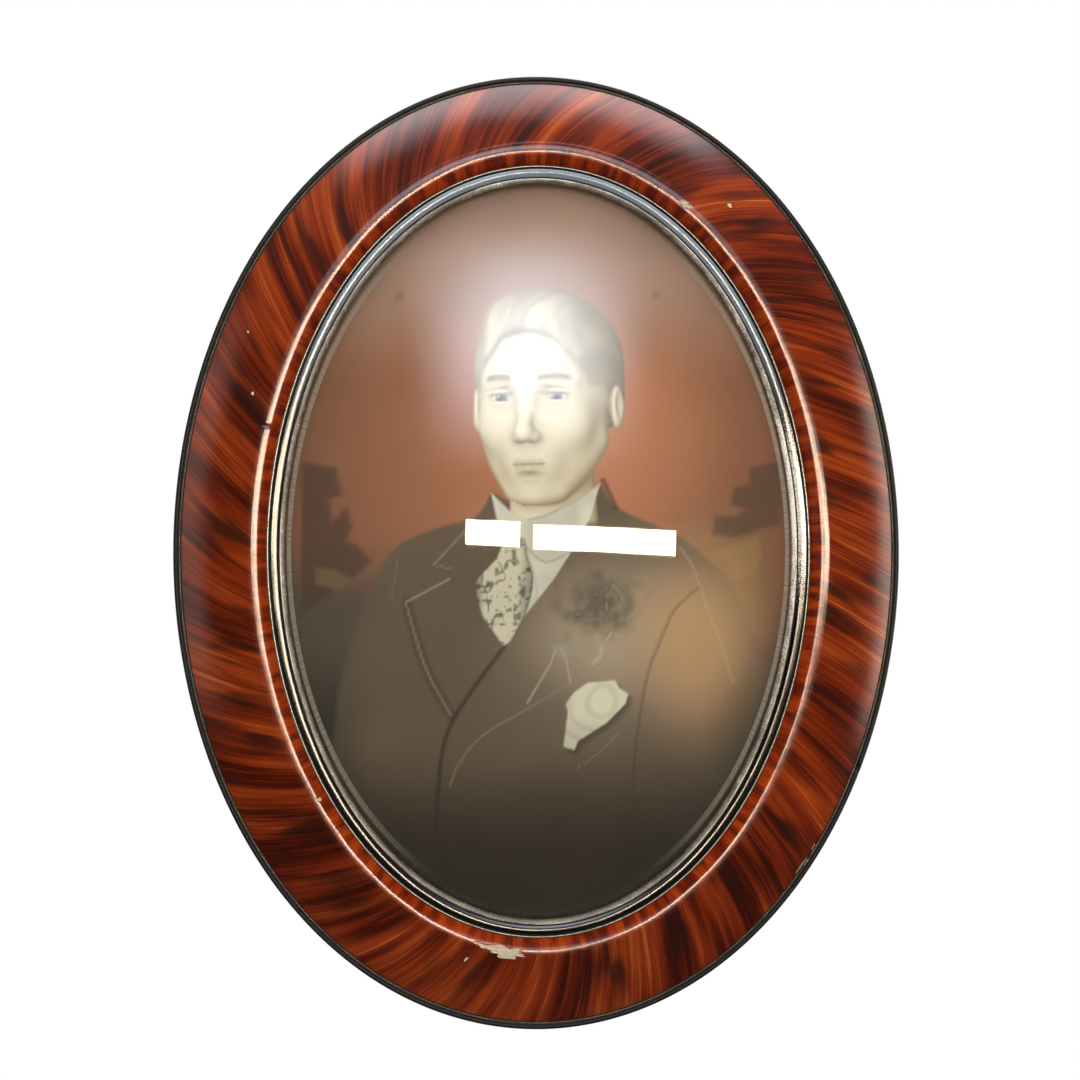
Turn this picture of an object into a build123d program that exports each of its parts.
from build123d import *
import math
import os

os.makedirs("parts", exist_ok=True)

# Oval picture frame with a domed glass. Millimetres, +Z up, the front faces -Y and the wall is at Y = 0.
# The origin is the centre of the oval on the wall. Every ring follows the edge of the glass: "offset" is
# the distance outward from that edge, and "height" is the distance from the wall towards the front.

# Driving dimensions
glass_width = 355.6
glass_height = 508.0
glass_thickness = 2.2

# Domed glass: a broad crown that bends faster near its edge
crown_angle = 19.0
edge_angle = 14.0
edge_bend_radius = 70.0

# Domed portrait card close behind the glass
print_thickness = 0.9
print_gap = 0.3

# Backing board, let into the back of the frame
board_recess = 8.0
board_thickness = 3.0
seat_clearance = 0.2
side_clearance = 0.3

# Ebonised liner round the sight edge
sight_lap = 8.2
sight_fillet_width = 1.5
sight_fillet_drop = 0.4
quirk_width = 0.9
quirk_depth = 1.0
bead_width = 5.4
bead_rise = 1.0
bead_crown = 0.5
groove_width = 2.3
groove_depth = 1.8
liner_fillet_width = 1.6
liner_fillet_rise = 1.6
liner_shoulder = 3.9
liner_wall = 5.1
glass_edge_clearance = 0.8

# Grained moulding, from the liner outward
lip_thickness = 1.8
slope_run = 3.8
slope_angle = 64.0
crest_crown_radius = 12.0
crest_crown_turn = 14.0
crest_inner_radius = 2.2
crest_outer_radius = 4.5
crest_outer_turn = 30.0
cove_radius = 11.0
face_start_angle = 15.0
face_width = 42.5
face_rim_angle = 36.0
rim_groove_width = 1.0
rim_groove_depth = 0.8
rim_fillet_width = 1.0
rim_quirk_width = 0.6
rim_bead_width = 3.1
rim_bead_drop = 0.6
rim_side_inset = 1.2
back_chamfer = 1.0

# The moulding is glued up from four sawn lengths, and each butt joint holds two dowels
segment_count = 4
first_joint_angle = 18.0
dowel_radius = 3.0
dowel_length = 30.0
dowel_spacing = 24.0
dowel_middle_offset = 36.0
dowel_height = 11.0
dowel_clearance = 0.1
dowel_end_clearance = 1.0
dowel_chamfer = 0.8

# Brads that hold the backing board
brad_count = 16
brad_radius = 0.7
brad_length = 14.0
brad_head_radius = 1.1
brad_head_thickness = 0.6
brad_bite = 8.0
brad_clearance = 0.05

# Screw eyes in the back and the loose rings that hang in them
eye_height = 130.0
eye_from_glass = 34.0
eye_radius = 4.0
eye_wire_radius = 1.1
eye_stand_off = 2.2
eye_shank_radius = 1.6
eye_shank_length = 13.0
eye_collar_radius = 2.6
eye_collar_thickness = 0.8
eye_hole_clearance = 0.05
ring_radius = 10.0
ring_wire_radius = 1.1
ring_clearance = 0.3

# Sizes that follow from the values above
half_width = glass_width / 2
half_height = glass_height / 2
rim_slope = math.radians(crown_angle + edge_angle)
crown_slope = math.radians(crown_angle)
edge_bend_run = edge_bend_radius * (math.sin(rim_slope) - math.sin(crown_slope))
crown_radius = (half_width - edge_bend_run) / math.sin(crown_slope)
crown_rise = crown_radius * (1 - math.cos(crown_slope))
edge_rise = edge_bend_radius * (math.cos(crown_slope) - math.cos(rim_slope))
dome_rise = crown_rise + edge_rise

board_front = board_recess + board_thickness
stack_thickness = glass_thickness + print_gap + print_thickness
glass_rim_height = board_front + seat_clearance + stack_thickness * math.cos(rim_slope)
sight_slope = math.asin(math.sin(rim_slope) - sight_lap / edge_bend_radius)
rise_at_sight = edge_bend_radius * (math.cos(sight_slope) - math.cos(rim_slope))

liner_seat = glass_rim_height + rise_at_sight + seat_clearance
liner_back = board_front + seat_clearance
liner_flange_top = liner_seat + liner_shoulder
liner_fillet_top = liner_flange_top + liner_fillet_rise
liner_outer = glass_edge_clearance + liner_wall

quirk_offset = sight_fillet_width - sight_lap
bead_inner = quirk_offset + quirk_width
bead_outer = bead_inner + bead_width
liner_fillet_inner = bead_outer + groove_width
liner_fillet_outer = liner_fillet_inner + liner_fillet_width

rabbet_offset = liner_outer + side_clearance
lip_offset = liner_fillet_outer + side_clearance
lip_back = liner_flange_top + seat_clearance
lip_front = lip_back + lip_thickness
slope_turn = math.radians(slope_angle)
crown_turn = math.radians(crest_crown_turn)
crest_half_crown = crest_crown_radius * math.sin(crown_turn)
crest_bend_run = crest_inner_radius * (math.sin(slope_turn) - math.sin(crown_turn))
crest_offset = lip_offset + slope_run + crest_bend_run + crest_half_crown
crest_crown_drop = crest_crown_radius * (1 - math.cos(crown_turn))
crest_bend_drop = crest_inner_radius * (math.cos(crown_turn) - math.cos(slope_turn))
crest_height = lip_front + slope_run * math.tan(slope_turn) + crest_bend_drop + crest_crown_drop
face_start_slope = math.radians(face_start_angle)
face_rim_slope = math.radians(face_rim_angle)
face_radius = face_width / (math.sin(face_rim_slope) - math.sin(face_start_slope))

ring_drop = eye_radius - eye_wire_radius - ring_wire_radius - ring_clearance
eye_axis_depth = eye_stand_off + eye_radius
eye_oval_height = half_height + eye_from_glass
eye_reach_share = math.sqrt(1 - (eye_height / eye_oval_height) ** 2)
eye_reach = (half_width + eye_from_glass) * eye_reach_share

TO_FRONT = Vector(0, -1, 0)
QUARTER_TURN = 90.0
FULL_TURN = 360.0


def oval_point_plane(angle):
    """Plane across the oval: x points outward, y to the front and z along the oval."""
    turn = math.radians(angle)
    point = Vector(half_width * math.sin(turn), 0, half_height * math.cos(turn))
    along = Vector(half_width * math.cos(turn), 0, -half_height * math.sin(turn)).normalized()
    return Plane(origin=point, x_dir=TO_FRONT.cross(along), z_dir=along)


def oval_path(start_angle, end_angle):
    """Stretch of the glass's edge, with the angle counted from the top towards the right."""
    oval_plane = Plane(origin=(0, 0, 0), x_dir=(0, 0, 1), z_dir=(0, 1, 0))
    flat_oval = Edge.make_ellipse(half_height, half_width, start_angle=start_angle, end_angle=end_angle)
    return oval_plane.location * flat_oval


def sweep_section(section, start_angle, end_angle):
    """Carry a section round the oval."""
    path = oval_path(start_angle, end_angle)
    start_plane = Plane(origin=path @ 0, x_dir=TO_FRONT.cross(path % 0), z_dir=path % 0)
    return sweep(start_plane.location * section, path=path)


def moulding_section():
    """Crest beside the liner, a slight cove, the broad rounded face and the small rim bead."""
    with BuildSketch() as section:
        with BuildLine():
            crown_inner = JernArc(
                start=(crest_offset, crest_height), tangent=(-1, 0), radius=crest_crown_radius,
                arc_size=crest_crown_turn)
            crest_inner = JernArc(
                start=crown_inner @ 1, tangent=crown_inner % 1, radius=crest_inner_radius,
                arc_size=slope_angle - crest_crown_turn)
            Polyline(
                crest_inner @ 1, (lip_offset, lip_front), (lip_offset, lip_back),
                (rabbet_offset, lip_back), (rabbet_offset, 0))
            crown_outer = JernArc(
                start=(crest_offset, crest_height), tangent=(1, 0), radius=crest_crown_radius,
                arc_size=-crest_crown_turn)
            crest_outer = JernArc(
                start=crown_outer @ 1, tangent=crown_outer % 1, radius=crest_outer_radius,
                arc_size=crest_crown_turn - crest_outer_turn)
            cove = JernArc(
                start=crest_outer @ 1, tangent=crest_outer % 1, radius=cove_radius,
                arc_size=crest_outer_turn - face_start_angle)
            face = JernArc(
                start=cove @ 1, tangent=cove % 1, radius=face_radius,
                arc_size=face_start_angle - face_rim_angle)
            rim_inner = (face @ 1).X
            rim_height = (face @ 1).Y
            groove_height = rim_height - rim_groove_depth
            fillet_inner = rim_inner + rim_groove_width
            fillet_outer = fillet_inner + rim_fillet_width
            bead_start = fillet_outer + rim_quirk_width
            bead_end = bead_start + rim_bead_width
            side = bead_end - rim_side_inset
            Polyline(
                face @ 1, (rim_inner, groove_height), (fillet_inner, groove_height),
                (fillet_inner, rim_height), (fillet_outer, rim_height), (fillet_outer, groove_height),
                (bead_start, groove_height))
            bead_top = (bead_start + rim_bead_width / 2, rim_height + rim_bead_drop)
            bead_side = (bead_end, rim_height - rim_bead_width / 2)
            bead_bottom = (side, rim_height - rim_bead_width)
            ThreePointArc((bead_start, groove_height), bead_top, bead_side)
            Polyline(
                bead_side, bead_bottom, (side, back_chamfer), (side - back_chamfer, 0),
                (rabbet_offset, 0))
        make_face()
    return section.sketch


def dowel_places(joint_angle):
    """Places of the two dowels across one joint."""
    joint_plane = oval_point_plane(joint_angle)
    return [
        joint_plane.location * Pos(dowel_middle_offset + side * dowel_spacing / 2, dowel_height, 0)
        for side in (-1, 1)]


def brad_places():
    """Places of the brads round the rabbet, each pointing outward along its own x."""
    brad_height = board_recess - brad_head_radius - seat_clearance
    step = FULL_TURN / brad_count
    return [
        oval_point_plane((number + 0.5) * step).location * Pos(rabbet_offset + brad_bite, brad_height, 0)
        for number in range(brad_count)]


def lengthwise_rod(radius, length):
    """Rod that ends at the origin and reaches back along -x."""
    return Pos(-length / 2, 0, 0) * Rot(0, QUARTER_TURN, 0) * Cylinder(radius, length)


def eye_places():
    """Where the screw eyes enter the back, left and right as seen from the front."""
    return {
        "left": Location((-eye_reach, 0, eye_height)),
        "right": Location((eye_reach, 0, eye_height))}


def eye_shank_hole():
    """Hole that a screw eye's shank needs in the wood."""
    radius = eye_shank_radius + eye_hole_clearance
    depth = eye_shank_length + seat_clearance
    return Pos(0, -depth / 2, 0) * Rot(QUARTER_TURN, 0, 0) * Cylinder(radius, depth)


def moulding_segment(number):
    """One sawn length of the grained moulding, drilled for its dowels, brads and screw eye."""
    span = FULL_TURN / segment_count
    start_angle = first_joint_angle + number * span
    wood = sweep_section(moulding_section(), start_angle, start_angle + span)
    hole_length = dowel_length + 2 * dowel_end_clearance
    dowel_hole = Cylinder(dowel_radius + dowel_clearance, hole_length)
    for joint_angle in (start_angle, start_angle + span):
        for place in dowel_places(joint_angle):
            wood -= place * dowel_hole
    brad_hole = lengthwise_rod(brad_radius + brad_clearance, brad_length)
    for place in brad_places():
        wood -= place * Pos(seat_clearance, 0, 0) * brad_hole
    for place in eye_places().values():
        wood -= place * eye_shank_hole()
    return wood


def joint_dowels():
    """Eight dowels, two in each joint of the moulding."""
    span = FULL_TURN / segment_count
    dowel = chamfer(Cylinder(dowel_radius, dowel_length).edges().filter_by(GeomType.CIRCLE), dowel_chamfer)
    places = []
    for number in range(segment_count):
        places += dowel_places(first_joint_angle + number * span)
    return Compound(children=[place * dowel for place in places])


def liner_section():
    """Ebonised liner: sight fillet, bead, groove and outer fillet over a rabbet for the glass."""
    sight_top = liner_fillet_top - sight_fillet_drop
    quirk_bottom = sight_top - quirk_depth
    groove_bottom = liner_fillet_top - groove_depth
    bead_top = (bead_inner + bead_width / 2, liner_fillet_top + bead_rise)
    bead_shoulder = liner_fillet_top + bead_rise - bead_crown
    with BuildSketch() as section:
        with BuildLine():
            Polyline(
                (-sight_lap, liner_seat), (-sight_lap, sight_top), (quirk_offset, sight_top),
                (quirk_offset, quirk_bottom), (bead_inner, quirk_bottom), (bead_inner, bead_shoulder))
            ThreePointArc((bead_inner, bead_shoulder), bead_top, (bead_outer, bead_shoulder))
            Polyline(
                (bead_outer, bead_shoulder), (bead_outer, groove_bottom),
                (liner_fillet_inner, groove_bottom),
                (liner_fillet_inner, liner_fillet_top), (liner_fillet_outer, liner_fillet_top),
                (liner_fillet_outer, liner_flange_top), (liner_outer, liner_flange_top),
                (liner_outer, liner_back), (glass_edge_clearance, liner_back),
                (glass_edge_clearance, liner_seat), (-sight_lap, liner_seat))
        make_face()
    return section.sketch


def sight_liner():
    return sweep_section(liner_section(), 0, FULL_TURN)


def dome_arcs(depth):
    """Crown and edge bend of a dome that lies this deep under the glass's front."""
    crown = JernArc(
        start=(0, dome_rise - depth), tangent=(1, 0), radius=crown_radius - depth, arc_size=-crown_angle)
    edge_bend = JernArc(
        start=crown @ 1, tangent=crown % 1, radius=edge_bend_radius - depth, arc_size=-edge_angle)
    return [crown, edge_bend]


def domed_sheet(depth, thickness):
    """Oval domed sheet: half its section turned once round the centre, then drawn out upward."""
    front = dome_arcs(depth)
    back = dome_arcs(depth + thickness)
    closing = [Line(front[1] @ 1, back[1] @ 1), Line(back[0] @ 0, front[0] @ 0)]
    section_plane = Plane(origin=(0, -glass_rim_height, 0), x_dir=(1, 0, 0), z_dir=(0, 0, -1))
    section = section_plane.location * make_face(front + back + closing)
    round_sheet = revolve(section, axis=Axis.Y, revolution_arc=FULL_TURN)
    return scale(round_sheet, by=(1, 1, half_height / half_width))


def convex_glass():
    return domed_sheet(0, glass_thickness)


def portrait_print():
    return domed_sheet(glass_thickness + print_gap, print_thickness)


def backing_board():
    """Thin oval board behind the card."""
    board_plane = Plane(origin=(0, -board_recess, 0), x_dir=(1, 0, 0), z_dir=(0, -1, 0))
    outline = Ellipse(half_width + liner_outer, half_height + liner_outer)
    return extrude(board_plane.location * outline, amount=board_thickness)


def backing_brads():
    """Ring of brads driven outward into the rabbet wall over the board's edge."""
    shaft = lengthwise_rod(brad_radius, brad_length)
    head_place = Pos(-brad_length, 0, 0)
    head = head_place * lengthwise_rod(brad_head_radius, brad_head_thickness)
    brad = shaft + head
    return Compound(children=[place * brad for place in brad_places()])


def screw_eye():
    """Bent wire eye on a shank with a small collar that seats on the wood."""
    eye = Pos(0, eye_axis_depth, 0) * Rot(0, QUARTER_TURN, 0) * Torus(eye_radius, eye_wire_radius)
    shank_length = eye_shank_length + eye_stand_off
    shank_middle = (eye_stand_off - eye_shank_length) / 2
    shank = Pos(0, shank_middle, 0) * Rot(QUARTER_TURN, 0, 0) * Cylinder(eye_shank_radius, shank_length)
    collar = Pos(0, eye_collar_thickness / 2, 0) * Rot(QUARTER_TURN, 0, 0) * Cylinder(
        eye_collar_radius, eye_collar_thickness)
    return eye + shank + collar


def hanging_ring():
    """Loose wire ring that hangs in a screw eye."""
    ring_centre = Pos(0, eye_axis_depth, -ring_drop - ring_radius)
    return ring_centre * Rot(QUARTER_TURN, 0, 0) * Torus(ring_radius, ring_wire_radius)


pieces = {
    "sight_liner": sight_liner(),
    "convex_glass": convex_glass(),
    "portrait_print": portrait_print(),
    "backing_board": backing_board(),
    "backing_brads": backing_brads(),
    "joint_dowels": joint_dowels(),
}
segment_names = ["upper_right", "lower_right", "lower_left", "upper_left"]
for number, place_name in enumerate(segment_names):
    pieces["moulding_" + place_name] = moulding_segment(number)
for side_name, eye_place in eye_places().items():
    pieces[side_name + "_screw_eye"] = eye_place * screw_eye()
    pieces[side_name + "_hanging_ring"] = eye_place * hanging_ring()

for node, piece in pieces.items():
    export_step(piece, "parts/" + node + ".step")

print("crest height", round(crest_height, 2), "dome top", round(glass_rim_height + dome_rise, 2))
print("eye reach", round(eye_reach, 2), "eye depth", eye_axis_depth, "ring pivot drop", ring_drop)
print("frame half width", round(pieces["moulding_upper_right"].bounding_box().max.X, 2))
